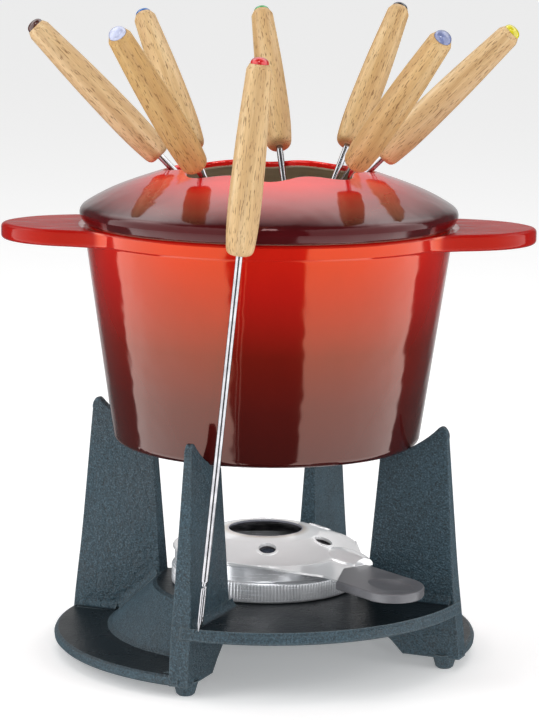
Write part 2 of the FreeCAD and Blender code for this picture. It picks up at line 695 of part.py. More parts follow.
def fork_handle():
    """Return the turned wooden handle, standing on the origin."""
    length = HANDLE_LENGTH
    side = curve_through([
        V(3.2, 0, 0), V(5.6, 0, 1.1), V(6.7, 0, 5.0), V(7.35, 0, 14.0),
        V(HANDLE_RADIUS, 0, 34.0), V(7.0, 0, 56.0), V(6.1, 0, 76.0),
        V(HANDLE_END_RADIUS, 0, length - 2.4),
    ])
    socket = CAP_RADIUS - 1.4
    inner = polyline([
        V(HANDLE_END_RADIUS, 0, length - 2.4), V(HANDLE_END_RADIUS - 1.2, 0, length),
        V(socket, 0, length), V(socket, 0, length - CAP_PEG - 0.5),
        V(0, 0, length - CAP_PEG - 0.5), V(0, 0, TANG_LENGTH + 0.5),
        V(SHAFT_RADIUS, 0, TANG_LENGTH + 0.5), V(SHAFT_RADIUS, 0, 0), V(3.2, 0, 0),
    ])
    return face_of([side] + inner).revolve(V(0, 0, 0), UP, 360)


def fork_cap():
    """Return the domed colour cap with its peg."""
    base = HANDLE_LENGTH + GAP
    peg = CAP_RADIUS - 1.4 - FIT_CLEARANCE
    dome = curve_through([
        V(CAP_RADIUS, 0, base + 0.3), V(CAP_RADIUS * 0.86, 0, base + CAP_HEIGHT * 0.6),
        V(CAP_RADIUS * 0.5, 0, base + CAP_HEIGHT * 0.92), V(0, 0, base + CAP_HEIGHT),
    ])
    rest = polyline([
        V(0, 0, base + CAP_HEIGHT), V(0, 0, base - CAP_PEG), V(peg, 0, base - CAP_PEG),
        V(peg, 0, base), V(CAP_RADIUS, 0, base), V(CAP_RADIUS, 0, base + 0.3),
    ])
    return face_of([dome] + rest).revolve(V(0, 0, 0), UP, 360)


def direction(lean, heading):
    """Return the unit vector at this lean from vertical, towards this azimuth."""
    tilt = math.radians(lean)
    flat = polar(math.sin(tilt), heading)
    return V(flat.x, flat.y, math.cos(tilt))


def fork_placement(start, axis):
    """Return the placement of a fork whose handle starts here along this axis.

    The prongs spread level, across the plane in which the fork leans.
    """
    level = UP.cross(axis).normalize()
    across = level.cross(axis)
    matrix = FreeCAD.Matrix(
        across.x, level.x, axis.x, start.x,
        across.y, level.y, axis.y, start.y,
        across.z, level.z, axis.z, start.z,
        0, 0, 0, 1)
    return FreeCAD.Placement(matrix)


def fork_places():
    """Return each fork's name and placement."""
    places = {}
    for name, (azimuth, sideways, lean, heading, bare) in LEANING_FORKS.items():
        axis = direction(lean, heading)
        angle = math.atan2(sideways, OPENING_NOTCH - NOTCH_REST_INSET)
        reach = opening_radius(angle) - NOTCH_REST_INSET
        turn = math.degrees(math.asin(sideways / reach))
        rest = polar(reach, azimuth + turn, NOTCH_REST_HEIGHT)
        places[name] = fork_placement(rest + axis * bare, axis)
    axis = (STANDING_FORK_TOP - STANDING_FORK_TIP).normalize()
    places["red"] = fork_placement(STANDING_FORK_TIP + axis * SHAFT_LENGTH, axis)
    return places


def placed(shape, placement):
    """Return a copy of the shape moved to this placement."""
    copy = shape.copy()
    copy.Placement = placement.multiply(copy.Placement)
    return copy


# ---- assembly ----------------------------------------------------------------


def all_parts():
    """Return every node's name and shape."""
    parts = {
        "stand_casting": stand(),
        "pot_body": pot(),
        "splash_guard": lid(),
        "burner_cup": burner_cup(),
        "fuel_can": fuel_can(),
        "fuel_gel": fuel_gel(),
        "burner_air_plate": air_plate(),
        "regulator_cover": regulator_cover(),
        "regulator_grip": regulator_grip(),
        "grip_rivets": grip_rivets(),
    }
    shapes = {"shaft": fork_shaft(), "handle": fork_handle(), "cap": fork_cap()}
    for colour, placement in fork_places().items():
        for piece, shape in shapes.items():
            parts["fork_%s_%s" % (colour, piece)] = placed(shape, placement)
    return parts


os.makedirs("parts", exist_ok=True)
for node, shape in all_parts().items():
    shape.exportStep(os.path.join("parts", node + ".step"))
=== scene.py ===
import bmesh
import bpy
import json
import math
from mathutils import Matrix, Vector


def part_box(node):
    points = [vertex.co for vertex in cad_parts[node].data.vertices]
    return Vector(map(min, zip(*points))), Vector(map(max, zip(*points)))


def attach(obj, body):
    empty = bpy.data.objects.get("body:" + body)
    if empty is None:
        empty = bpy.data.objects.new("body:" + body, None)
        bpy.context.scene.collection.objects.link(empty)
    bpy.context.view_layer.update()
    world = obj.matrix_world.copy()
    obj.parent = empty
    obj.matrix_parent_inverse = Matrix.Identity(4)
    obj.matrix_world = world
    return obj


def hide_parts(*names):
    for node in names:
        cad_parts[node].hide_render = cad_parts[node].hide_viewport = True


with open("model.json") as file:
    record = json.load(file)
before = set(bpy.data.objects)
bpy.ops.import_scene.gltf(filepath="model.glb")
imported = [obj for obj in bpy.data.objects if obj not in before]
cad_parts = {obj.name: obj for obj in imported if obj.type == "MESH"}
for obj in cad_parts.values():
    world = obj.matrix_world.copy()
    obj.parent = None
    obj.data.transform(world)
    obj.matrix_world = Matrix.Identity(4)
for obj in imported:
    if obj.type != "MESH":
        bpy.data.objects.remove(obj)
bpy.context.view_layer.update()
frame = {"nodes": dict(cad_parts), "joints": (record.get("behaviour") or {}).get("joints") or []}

# Looks of the fondue set: enamelled pot and splash guard, cast-iron stand,
# steel burner and wooden-handled forks. Lengths are in metres, angles in degrees.

nodes = frame["nodes"]
MM = 0.001

# ---- sizes read from the frame ------------------------------------------------
POT_LOW, POT_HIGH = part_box("pot_body")
CUP_LOW, CUP_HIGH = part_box("burner_cup")
GUARD_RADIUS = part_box("splash_guard")[1].x
COVER_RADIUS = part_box("regulator_cover")[1].y

# ---- sizes of the parts ---------------------------------------------------------
POT_FOOT_RADIUS = 75.2 * MM
POT_BAND_RADIUS = 90.2 * MM
POT_WALL = 4.2 * MM
# Gain in the pot's radius per unit of height.
POT_TAPER = 0.1435
# The guard's opening lies within this radius, and its locating ring outside it.
GUARD_THROAT = 52.0 * MM
GUARD_LIP = 4.0 * MM
CUP_BAND_RADIUS = 46.6 * MM
CUP_BAND_HEIGHT = 10.4 * MM
# How far the band stands out from the cup's wall.
CUP_BAND_STEP = 1.6 * MM
CUP_WALL = 1.0 * MM
KNURL_COUNT = 180
KNURL_DEPTH = 0.45 * MM
# Mesh steps across each ridge.
KNURL_STEPS = 4

# ---- colours ----------------------------------------------------------------------
WHITE = (1.0, 1.0, 1.0)
BLACK = (0.0, 0.0, 0.0)
ENAMEL_BEIGE = (0.740, 0.650, 0.510)
ENAMEL_SPECK = (0.300, 0.230, 0.160)
TAB_RED = (0.430, 0.0080, 0.0050)
TAB_GLEAM = (0.500, 0.150, 0.060)
STEEL = (0.86, 0.88, 0.92)
DULL_STEEL = tuple(part * 0.82 for part in STEEL)
# One row per fork: its cap's colour, and how golden its wood is.
FORK_LOOKS = {
    "brown": ((0.075, 0.016, 0.010), 0.10),
    "white": ((0.600, 0.640, 0.860), 0.95),
    "blue": ((0.004, 0.150, 0.520), 0.35),
    "green": ((0.040, 0.400, 0.110), 0.45),
    "black": ((0.008, 0.008, 0.016), 0.55),
    "grey": ((0.220, 0.260, 0.480), 0.65),
    "yellow": ((0.800, 0.700, 0.010), 0.15),
    "red": ((0.730, 0.014, 0.018), 0.25),
}
# Where the first handle lies in the wood, and how far each one lies from the last.
WOOD_START = 31 * MM
WOOD_SPACING = 17 * MM

# ---- studio -----------------------------------------------------------------------
# One row per soft panel: its name, place, width and height, and power in watts.
SOFT_PANELS = [
    ("left_panel", (-1.5, -0.7, 0.9), (1.0, 1.4), 11.0),
    ("right_panel", (1.5, -0.8, 0.8), (1.0, 1.4), 7.0),
    ("top_panel", (0.0, 0.3, 1.8), (1.6, 1.0), 8.0),
]
SET_CENTRE = (0.0, 0.0, 0.15)
FILL_PLACE = (0.35, -1.45, 0.50)
FILL_AIM = (0.02, 0.0, 0.048)
FILL_ANGLE = 8.0
FILL_POWER = 46.0
GLOW_SIZE = 90 * MM
GLOW_DROP = 4 * MM
GLOW_POWER = 0.036
FLOOR_SIZE = 30.0

CAMERA_PLACE = Vector((1.06, -1313.7, 364.0)) * MM
CAMERA_PITCH = 9.462
CAMERA_ROLL = 0.670
CAMERA_FOV = 15.192


# ---- shader helpers -----------------------------------------------------------


class Shader:
    """A material's node tree, with short calls that add a node and return its output."""

    def __init__(self, name, tree=None):
        if tree is None:
            self.material = bpy.data.materials.new(name)
            self.material.use_nodes = True
            tree = self.material.node_tree
        self.tree = tree
        self.tree.nodes.clear()

    def put(self, socket, value):
        """Set a socket to a value, or link it to another node's output."""
        if isinstance(value, bpy.types.NodeSocket):
            self.tree.links.new(value, socket)
        elif isinstance(value, (tuple, list)) and len(value) == 3 and len(socket.default_value) == 4:
            socket.default_value = (*value, 1.0)
        else:
            socket.default_value = value

    def add(self, kind, inputs=None, **settings):
        """Add a node with these settings and inputs."""
        node = self.tree.nodes.new(kind)
        for key, value in settings.items():
            setattr(node, key, value)
        for key, value in (inputs or {}).items():
            self.put(node.inputs[key], value)
        return node

    def math(self, operation, first, second=0.0):
        """Return the result of one piece of arithmetic."""
        return self.add("ShaderNodeMath", {0: first, 1: second}, operation=operation).outputs[0]

    def plus(self, first, second):
        """Return the sum."""
        return self.math("ADD", first, second)

    def minus(self, first, second):
        """Return the difference."""
        return self.math("SUBTRACT", first, second)

    def times(self, first, second):
        """Return the product."""
        return self.math("MULTIPLY", first, second)

    def step(self, value, low, high):
        """Return a smooth rise from 0 at low to 1 at high, which may be the lower number."""
        node = self.add(
            "ShaderNodeMapRange", {"Value": value, "From Min": low, "From Max": high},
            interpolation_type="SMOOTHSTEP")
        return node.outputs["Result"]

    def ramp(self, factor, stops):
        """Return a colour ramp's colour. Each stop is (position, colour)."""
        node = self.add("ShaderNodeValToRGB", {"Fac": factor})
        band = node.color_ramp.elements
        while len(band) < len(stops):
            band.new(0.5)
        for element, (position, colour) in zip(band, stops):
            element.position = position
            element.color = (*colour, 1.0)
        return node.outputs["Color"]

    def mix(self, factor, first, second):
        """Return the mix of two colours."""
        node = self.add("ShaderNodeMix", data_type="RGBA")
        self.put(node.inputs["Factor"], factor)
        self.put(node.inputs[6], first)
        self.put(node.inputs[7], second)
        return node.outputs[2]

    def noise(self, vector, scale, detail=3.0, roughness=0.5):
        """Return a noise texture's value."""
        node = self.add("ShaderNodeTexNoise", {
            "Vector": vector, "Scale": scale, "Detail": detail, "Roughness": roughness})
        return node.outputs["Fac"]

    def place(self):
        """Return the point on the object, in the frame at rest."""
        return self.add("ShaderNodeTexCoord").outputs["Object"]

    def facing(self):
        """Return how far the surface faces up: 1 when level, 0 when upright."""
        return self.split(self.add("ShaderNodeNewGeometry").outputs["True Normal"])[2]

    def split(self, vector):
        """Return a vector's three parts."""
        node = self.add("ShaderNodeSeparateXYZ", {0: vector})
        return node.outputs[0], node.outputs[1], node.outputs[2]

    def join(self, x, y, z):
        """Return the vector with these parts."""
        return self.add("ShaderNodeCombineXYZ", {0: x, 1: y, 2: z}).outputs[0]

    def radius(self, x, y):
        """Return the distance from the Z axis."""
        return self.math("SQRT", self.plus(self.times(x, x), self.times(y, y)))

    def bump(self, height, distance, strength=1.0):
        """Return the normal that this height map gives."""
        node = self.add("ShaderNodeBump", {"Height": height, "Distance": distance, "Strength": strength})
        return node.outputs["Normal"]

    def surface(self, **inputs):
        """Finish the material with one Principled surface and return the material."""
        names = {key.replace("_", " "): value for key, value in inputs.items()}
        node = self.add("ShaderNodeBsdfPrincipled", names)
        output = self.add("ShaderNodeOutputMaterial")
        self.tree.links.new(node.outputs[0], output.inputs["Surface"])
        return self.material


# ---- enamel -----------------------------------------------------------------------


def enamel(name, tone, gleam, is_inside):
    """Return glossy enamel.

    tone gives the outside colour, gleam the tint of its reflections, and is_inside
    where the beige inside coat lies. Each is called with the shader, radius and height.
    """
    sh = Shader(name)
    place = sh.place()
    x, y, z = sh.split(place)
    radius = sh.radius(x, y)
    outside = tone(sh, radius, z)
    tint = gleam(sh, radius, z)
    cloud = sh.step(sh.noise(place, 28.0, 4.0), 0.35, 0.7)
    outside = sh.mix(cloud, outside, sh.mix(0.10, outside, BLACK))
    speckle = sh.step(sh.noise(place, 1900.0, 1.0), 0.70, 0.76)
    beige = sh.mix(sh.times(speckle, 0.5), ENAMEL_BEIGE, ENAMEL_SPECK)
    inside = is_inside(sh, radius, z)
    # The tabs mirror less than the rest, and their level tops hardly at all.
    tabs = on_tabs(sh, radius)
    tab_tops = sh.times(tabs, sh.step(sh.facing(), 0.3, 0.9))
    coat = sh.minus(sh.minus(0.4, sh.times(tabs, 0.3)), sh.times(tab_tops, 0.1))
    shine = sh.minus(sh.minus(1.0, sh.times(tabs, 0.7)), sh.times(tab_tops, 0.292))
    normal = sh.bump(sh.noise(place, 75.0, 1.0), 0.62 * MM, 0.55)
    smear = sh.noise(place, 55.0, 4.0)
    return sh.surface(
        Base_Color=sh.mix(inside, outside, beige), Roughness=0.10, IOR=1.6,
        Specular_IOR_Level=shine, Specular_Tint=sh.mix(inside, tint, (0.5, 0.5, 0.5)), Normal=normal,
        Coat_Weight=coat, Coat_Roughness=sh.times(smear, 0.06), Coat_IOR=1.38, Coat_Normal=normal)


def on_tabs(sh, radius):
    """Return 1 outside the pot's band, where its handle tabs are. The guard's rim reaches into this."""
    return sh.step(radius, POT_BAND_RADIUS + 1 * MM, POT_BAND_RADIUS + 3 * MM)


def pot_share(sh, z):
    """Return the height as a share of the pot's: 0 at the foot and 1 at the rim."""
    return sh.math("DIVIDE", sh.minus(z, POT_LOW.z), POT_HIGH.z - POT_LOW.z)


def pot_tone(sh, radius, z):
    """Return the pot's red, which darkens towards the foot, and is even on the tabs."""
    body = sh.ramp(pot_share(sh, z), [
        (0.00, (0.046, 0.0035, 0.0030)),
        (0.25, (0.070, 0.0035, 0.0028)),
        (0.50, (0.150, 0.0045, 0.0024)),
        (0.78, (0.420, 0.0055, 0.0050)),
        (1.00, (0.640, 0.0110, 0.0060)),
    ])
    return sh.mix(on_tabs(sh, radius), body, TAB_RED)


def pot_gleam(sh, radius, z):
    """Return the tint of the pot's reflections: orange at the top, greyer at the foot."""
    body = sh.ramp(pot_share(sh, z), [
        (0.05, (0.480, 0.290, 0.240)),
        (0.30, (0.620, 0.310, 0.220)),
        (0.60, (0.900, 0.310, 0.140)),
        (0.90, (1.000, 0.260, 0.040)),
    ])
    return sh.mix(on_tabs(sh, radius), body, TAB_GLEAM)


def pot_inside(sh, radius, z):
    """Return 1 inside the pot."""
    rise = sh.times(sh.minus(z, POT_LOW.z), POT_TAPER)
    mid_wall = sh.plus(rise, POT_FOOT_RADIUS - POT_WALL / 2)
    within = sh.step(radius, sh.plus(mid_wall, 0.3 * MM), sh.minus(mid_wall, 0.3 * MM))
    above_floor = sh.step(z, POT_LOW.z + 2 * MM, POT_LOW.z + 3 * MM)
    return sh.times(within, above_floor)


def guard_tone(sh, radius, z):
    """Return the splash guard's red, dark at the rim and bright at the opening."""
    return sh.ramp(sh.math("DIVIDE", radius, GUARD_RADIUS), [
        (0.48, (0.900, 0.0140, 0.0110)),
        (0.60, (0.860, 0.0120, 0.0100)),
        (0.80, (0.330, 0.0080, 0.0080)),
        (0.94, (0.110, 0.0060, 0.0070)),
        (0.975, (0.050, 0.0040, 0.0050)),
        (1.00, (0.070, 0.0050, 0.0070)),
    ])


def guard_gleam(sh, radius, z):
    """Return the tint of the splash guard's reflections: grey at the rim, red at the opening."""
    return sh.ramp(sh.math("DIVIDE", radius, GUARD_RADIUS), [
        (0.50, (0.900, 0.200, 0.170)),
        (0.72, (0.800, 0.380, 0.360)),
        (0.90, (0.620, 0.480, 0.450)),
        (0.97, (0.200, 0.090, 0.090)),
    ])


def guard_inside(sh, radius, z):
    """Return 1 on the splash guard's underside and its locating ring."""
    facing = sh.facing()
    under = sh.step(facing, -0.05, -0.2)
    ring = sh.times(sh.step(radius, GUARD_THROAT, GUARD_THROAT + 1 * MM), sh.step(facing, 0.5, 0.3))
    within = sh.step(radius, GUARD_RADIUS - GUARD_LIP, GUARD_RADIUS - GUARD_LIP - 1 * MM)
    return sh.times(sh.math("MAXIMUM", under, ring), within)


# ---- metals -----------------------------------------------------------------------


def cast_iron():
    """Return the stand's black-enamelled sand-cast iron."""
    sh = Shader("stand_iron")
    place = sh.place()
    grain = sh.noise(place, 1200.0, 2.0, 0.6)
    lump = sh.noise(place, 330.0, 2.0, 0.55)
    level = sh.step(sh.facing(), 0.80, 0.97)
    # Rounded edges, found with the bevel node. Below they are painted lighter, partly as edge wear and
    # partly as a painted highlight for the light they catch.
    rounded = sh.add("ShaderNodeBevel", {"Radius": 1.1 * MM}, samples=4).outputs[0]
    straight = sh.add("ShaderNodeNewGeometry").outputs["Normal"]
    alike = sh.add("ShaderNodeVectorMath", {0: rounded, 1: straight}, operation="DOT_PRODUCT")
    worn_and_highlit_edge = sh.step(alike.outputs["Value"], 0.985, 0.86)
    dusty = sh.step(sh.noise(place, 38.0, 4.0), 0.35, 0.75)
    high_grain = sh.times(sh.step(grain, 0.52, 0.66), 0.75)
    pits = sh.times(sh.step(grain, 0.47, 0.36), 0.85)
    base = sh.mix(dusty, (0.0160, 0.0380, 0.0530), (0.0240, 0.0540, 0.0740))
    base = sh.mix(high_grain, base, (0.064, 0.112, 0.142))
    base = sh.mix(pits, base, (0.006, 0.012, 0.016))
    base = sh.mix(sh.times(level, 0.88), base, (0.0070, 0.0085, 0.0100))
    # Lighter edges: partly wear, partly a painted highlight.
    base = sh.mix(sh.times(worn_and_highlit_edge, 0.55), base, (0.150, 0.185, 0.200))
    rough = sh.minus(sh.plus(0.46, sh.times(dusty, 0.12)), sh.times(level, 0.20))
    texture = sh.plus(sh.times(grain, 0.75), lump)
    texture = sh.times(texture, sh.minus(1.0, sh.times(level, 0.75)))
    sheen = sh.minus(0.45, sh.times(level, 0.31))
    return sh.surface(
        Base_Color=base, Roughness=rough, Specular_IOR_Level=sheen, Normal=sh.bump(texture, 0.85 * MM))


def turned_coordinates(sh, place):
    """Return (turn about Z, radius, height), for marks that run round the axis."""
    x, y, z = sh.split(place)
    return sh.math("ARCTAN2", y, x), sh.radius(x, y), z


def spun_steel():
    """Return the cup's and the rivets' steel, with fine marks round the axis."""
    sh = Shader("burner_steel")
    place = sh.place()
    turn, radius, z = turned_coordinates(sh, place)
    rings = sh.join(sh.times(turn, 2.5), sh.times(radius, 1800.0), sh.times(z, 1800.0))
    marks = sh.noise(rings, 1.0, 3.0, 0.6)
    haze = sh.step(sh.noise(place, 60.0, 4.0, 0.6), 0.35, 0.75)
    rough = sh.plus(0.20, sh.times(sh.step(marks, 0.3, 0.8), 0.10))
    return sh.surface(
        Base_Color=sh.mix(haze, STEEL, DULL_STEEL), Metallic=0.50, Roughness=rough, Anisotropic=0.35,
        Normal=sh.bump(marks, 0.004 * MM))


def polished_cover():
    """Return the polished cover, with faint straw and blue heat tints at the chimney."""
    sh = Shader("polished_steel")
    place = sh.place()
    turn, radius, _ = turned_coordinates(sh, place)
    scratch = sh.noise(sh.join(sh.times(turn, 3.0), sh.times(radius, 900.0), 0.0), 1.0, 1.0)
    wave = sh.noise(place, 48.0, 2.0)
    heat = sh.ramp(sh.math("DIVIDE", radius, COVER_RADIUS), [
        (0.385, (0.260, 0.300, 0.430)),
        (0.42, (0.620, 0.560, 0.500)),
        (0.48, (0.920, 0.925, 0.935)),
        (1.00, (0.930, 0.935, 0.950)),
    ])
    rough = sh.plus(0.13, sh.times(sh.step(scratch, 0.4, 0.8), 0.05))
    height = sh.plus(sh.times(wave, 12.0), sh.times(scratch, 0.15))
    return sh.surface(
        Base_Color=heat, Metallic=0.25, Roughness=rough, Specular_IOR_Level=1.0, IOR=1.8,
        Normal=sh.bump(height, 0.03 * MM))


def heated_steel():
    """Return the air plate's steel, darkened by the flame."""
    sh = Shader("heated_steel")
    soot = sh.step(sh.noise(sh.place(), 130.0, 4.0), 0.3, 0.7)
    colour = sh.mix(soot, (0.160, 0.150, 0.160), (0.050, 0.048, 0.055))
    rough = sh.plus(0.30, sh.times(soot, 0.25))
    return sh.surface(Base_Color=colour, Metallic=0.8, Roughness=rough, Normal=sh.bump(soot, 0.02 * MM))


def fork_steel():
    """Return the forks' polished wire, with faint drawing marks."""
    sh = Shader("fork_steel")
    place = sh.place()
    haze = sh.noise(place, 220.0, 3.0)
    marks = sh.noise(place, 1500.0, 2.0)
    colour = sh.mix(sh.step(haze, 0.3, 0.8), (0.46, 0.46, 0.48), (0.32, 0.32, 0.34))
    rough = sh.plus(0.10, sh.times(haze, 0.16))
    return sh.surface(Base_Color=colour, Metallic=1.0, Roughness=rough, Normal=sh.bump(marks, 0.02 * MM))


def tin_plate():
    """Return the fuel tin's dull plate."""
    sh = Shader("can_aluminium")
    spangle = sh.add("ShaderNodeTexVoronoi", {"Vector": sh.place(), "Scale": 260.0}).outputs["Distance"]
    colour = sh.mix(sh.step(spangle, 0.0, 0.8), (0.62, 0.63, 0.65), (0.42, 0.43, 0.46))
    rough = sh.plus(0.28, sh.times(spangle, 0.15))
    return sh.surface(
        Base_Color=colour, Metallic=1.0, Roughness=rough, Normal=sh.bump(spangle, 0.04 * MM))


# ---- fuel, plastic and wood ---------------------------------------------------------


def set_gel():
    """Return the pale set fuel."""
    sh = Shader("set_fuel")
    ripple = sh.noise(sh.place(), 90.0, 3.0)
    colour = sh.mix(ripple, (0.10, 0.12, 0.17), (0.17, 0.20, 0.26))
    return sh.surface(
        Base_Color=colour, Roughness=0.12, Transmission_Weight=0.45, IOR=1.36,
        Normal=sh.bump(ripple, 0.9 * MM))


def moulded_grip():
    """Return the grip's satin black moulding."""
    sh = Shader("black_grip")
    place = sh.place()
    grain = sh.noise(place, 2600.0, 2.0)
    rub = sh.step(sh.noise(place, 70.0, 4.0), 0.4, 0.75)
    colour = sh.mix(rub, (0.118, 0.119, 0.130), (0.170, 0.172, 0.186))
    rough = sh.plus(0.30, sh.times(rub, 0.12))
    return sh.surface(Base_Color=colour, Roughness=rough, Normal=sh.bump(grain, 0.05 * MM, 0.6))


def glossy_cap(colour_name, colour):
    """Return one cap's glossy colour, with slight mottling."""
    sh = Shader("cap_" + colour_name)
    mottle = sh.noise(sh.place(), 420.0, 3.0)
    deep = tuple(c * 0.72 for c in colour)
    tint = sh.mix(sh.step(mottle, 0.35, 0.7), colour, deep)
    rough = sh.plus(0.12, sh.times(mottle, 0.12))
    return sh.surface(
        Base_Color=tint, Roughness=rough, Coat_Weight=0.5, Coat_Roughness=0.05,
        Normal=sh.bump(mottle, 0.08 * MM))


def drawn_out(sh, point, across, lengthways, detail, roughness):
    """Return noise with these scales across the grain and along it, which is the point's z."""
    x, y, z = point
    stretched = sh.join(sh.times(x, across), sh.times(y, across), sh.times(z, lengthways))
    return sh.noise(stretched, 1.0, detail, roughness)


def pale_wood(colour_name, axis, offset, warmth):
    """Return oiled rubberwood whose grain runs along this axis.

    offset moves each handle to its own place in the wood, and warmth deepens its gold.
    """
    sh = Shader("wood_" + colour_name)
    turn = axis.to_track_quat("Z", "Y").to_euler()
    turned = sh.add("ShaderNodeMapping", {"Vector": sh.place(), "Rotation": turn}, vector_type="TEXTURE")
    shift = (offset, 1.7 * offset, 0.0)
    moved = sh.add("ShaderNodeVectorMath", {0: turned.outputs[0], 1: shift}, operation="ADD")
    point = sh.split(moved.outputs[0])
    x, y, z = point
    slow = drawn_out(sh, point, 260.0, 16.0, 4.0, 0.55)
    fibre = drawn_out(sh, point, 2300.0, 70.0, 2.0, 0.6)
    pore = drawn_out(sh, point, 1900.0, 230.0, 1.0, 0.5)
    rings = sh.add("ShaderNodeTexWave", {
        "Vector": sh.join(x, y, sh.times(z, 0.12)), "Scale": 46.0, "Distortion": 5.0,
        "Detail": 2.0, "Detail Scale": 2.0}, wave_type="RINGS", rings_direction="Z")
    streaks = sh.step(pore, 0.600, 0.680)
    base = sh.ramp(slow, [
        (0.25, (0.600, 0.385, 0.185)),
        (0.50, (0.750, 0.530, 0.285)),
        (0.75, (0.870, 0.680, 0.420)),
    ])
    base = sh.mix(0.55 * warmth, base, (0.560, 0.300, 0.040))
    base = sh.mix(sh.times(rings.outputs["Fac"], 0.32), base, (0.430, 0.230, 0.085))
    base = sh.mix(sh.times(sh.step(fibre, 0.40, 0.72), 0.34), base, (0.380, 0.200, 0.075))
    base = sh.mix(sh.times(streaks, 0.72), base, (0.190, 0.085, 0.028))
    depth = sh.minus(sh.times(fibre, 0.35), streaks)
    rough = sh.plus(0.42, sh.times(streaks, 0.25))
    return sh.surface(
        Base_Color=base, Roughness=rough, Specular_IOR_Level=0.40,
        Subsurface_Weight=0.04, Subsurface_Radius=(2 * MM, 1 * MM, 0.5 * MM),
        Normal=sh.bump(depth, 0.10 * MM, 0.7))


# ---- burner cup with its knurled band ---------------------------------------------


def cup_rings():
    """Return the cup's outline from the foot's centre round to the inside floor's centre.

    Each ring is its radius, its height, and its share of the knurl's depth.
    """
    band = CUP_BAND_RADIUS
    body = CUP_HIGH.x - CUP_BAND_STEP
    low = CUP_LOW.z
    high = CUP_HIGH.z
    band_top = low + CUP_BAND_HEIGHT
    floor = low + CUP_WALL
    return [
        (0.0, low, 0),
        (band * 0.93, low, 0),
        (band - 1.1 * MM, low + 0.15 * MM, 0),
        (band - 0.25 * MM, low + 0.8 * MM, 0.2),
        (band, low + 1.5 * MM, 1),
        (band, band_top - 1.7 * MM, 1),
        (band - 0.25 * MM, band_top - 0.9 * MM, 0.2),
        (band - 0.9 * MM, band_top - 0.2 * MM, 0),
        (body + 0.3 * MM, band_top + 0.1 * MM, 0),
        (body, band_top + 0.5 * MM, 0),
        (body, high - 0.6 * MM, 0),
        (body - 0.2 * MM, high - 0.15 * MM, 0),
        (body - CUP_WALL / 2, high, 0),
        (body - CUP_WALL, high - 0.2 * MM, 0),
        (body - CUP_WALL, low + 2.4 * MM, 0),
        (body - 2.4 * MM, floor, 0),
        (0.0, floor, 0),
    ]


def knurled_cup():
    """Build the cup as one lathe mesh whose foot band carries upright ridges."""
    steps = KNURL_COUNT * KNURL_STEPS
    mesh = bmesh.new()
    loops = []
    for radius, height, share in cup_rings():
        if radius == 0.0:
            loops.append([mesh.verts.new((0, 0, height))])
            continue
        loop = []
        for step in range(steps):
            angle = 2 * math.pi * step / steps
            ridge = (1 - math.cos(KNURL_COUNT * angle)) / 2
            reach = radius - share * KNURL_DEPTH * ridge
            loop.append(mesh.verts.new((reach * math.cos(angle), reach * math.sin(angle), height)))
        loops.append(loop)
    for first, second in zip(loops, loops[1:]):
        for step in range(steps):
            after = (step + 1) % steps
            if len(first) == 1:
                mesh.faces.new((first[0], second[after], second[step]))
            elif len(second) == 1:
                mesh.faces.new((first[step], first[after], second[0]))
            else:
                mesh.faces.new((first[step], first[after], second[after], second[step]))
    bmesh.ops.recalc_face_normals(mesh, faces=mesh.faces)
    data = bpy.data.meshes.new("knurled_cup")
    mesh.to_mesh(data)
    mesh.free()
    data.shade_smooth()
    cup = bpy.data.objects.new("knurled_cup", data)
    bpy.context.scene.collection.objects.link(cup)
    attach(cup, "burner")
    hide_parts("burner_cup")
    return cup


# ---- dress the frame --------------------------------------------------------------


def give(obj, material):
    """Make this the object's only material."""
    obj.data.materials.clear()
    obj.data.materials.append(material)


def dress():
    """Give every node and piece its material."""
    brushed = spun_steel()
    give(nodes["stand_casting"], cast_iron())
    give(nodes["pot_body"], enamel("red_enamel", pot_tone, pot_gleam, pot_inside))
    give(nodes["splash_guard"], enamel("red_enamel_guard", guard_tone, guard_gleam, guard_inside))
    give(knurled_cup(), brushed)
    give(nodes["burner_air_plate"], heated_steel())
    give(nodes["grip_rivets"], brushed)
    give(nodes["fuel_can"], tin_plate())
    give(nodes["fuel_gel"], set_gel())
    give(nodes["regulator_cover"], polished_cover())
    give(nodes["regulator_grip"], moulded_grip())
    wire = fork_steel()
    axes = {joint["child"]: Vector(joint["axis"]) for joint in frame["joints"]}
    for index, (colour_name, (colour, warmth)) in enumerate(FORK_LOOKS.items()):
        fork = "fork_" + colour_name
        offset = WOOD_START + WOOD_SPACING * index
        give(nodes[fork + "_shaft"], wire)
        give(nodes[fork + "_handle"], pale_wood(colour_name, axes[fork], offset, warmth))
        give(nodes[fork + "_cap"], glossy_cap(colour_name, colour))


# ---- surroundings -----------------------------------------------------------------


def window(sh, value, low, high, soft):
    """Return 1 between low and high, with soft edges."""
    rise = sh.step(value, low - soft, low + soft)
    fall = sh.step(value, high + soft, high - soft)
    return sh.times(rise, fall)


def mirrored_studio(sh, side, height):
    """Return how bright the studio is in a mirror.

    side is the angle from the front, to either side, and height the angle above the horizon.
    """
    # Two tall side panels, which make the pot's pale upright bands.
    panels = sh.times(window(sh, side, 25.0, 111.0, 1.2), window(sh, height, -75.0, 48.0, 6.0))
    # A dim backdrop behind the set.
    backdrop = sh.times(sh.step(side, 148.0, 168.0), sh.step(height, -40.0, -5.0))
    # A high band at the sides and behind, which lights the splash guard. It is dimmer behind.
    above = sh.times(sh.step(side, 70.0, 120.0), window(sh, height, 34.0, 66.0, 16.0))
    above = sh.times(above, sh.minus(2.9, sh.times(sh.step(side, 135.0, 165.0), 1.9)))
    # A small bright lamp high up in front, for the sparkles on rims and caps.
    spot = sh.times(window(sh, side, -1.0, 9.0, 1.0), window(sh, height, 38.0, 62.0, 2.0))
    glow = sh.plus(0.10, sh.times(panels, 2.1))
    glow = sh.plus(glow, sh.times(backdrop, 0.45))
    glow = sh.plus(glow, above)
    return sh.plus(glow, sh.times(spot, 9.0))


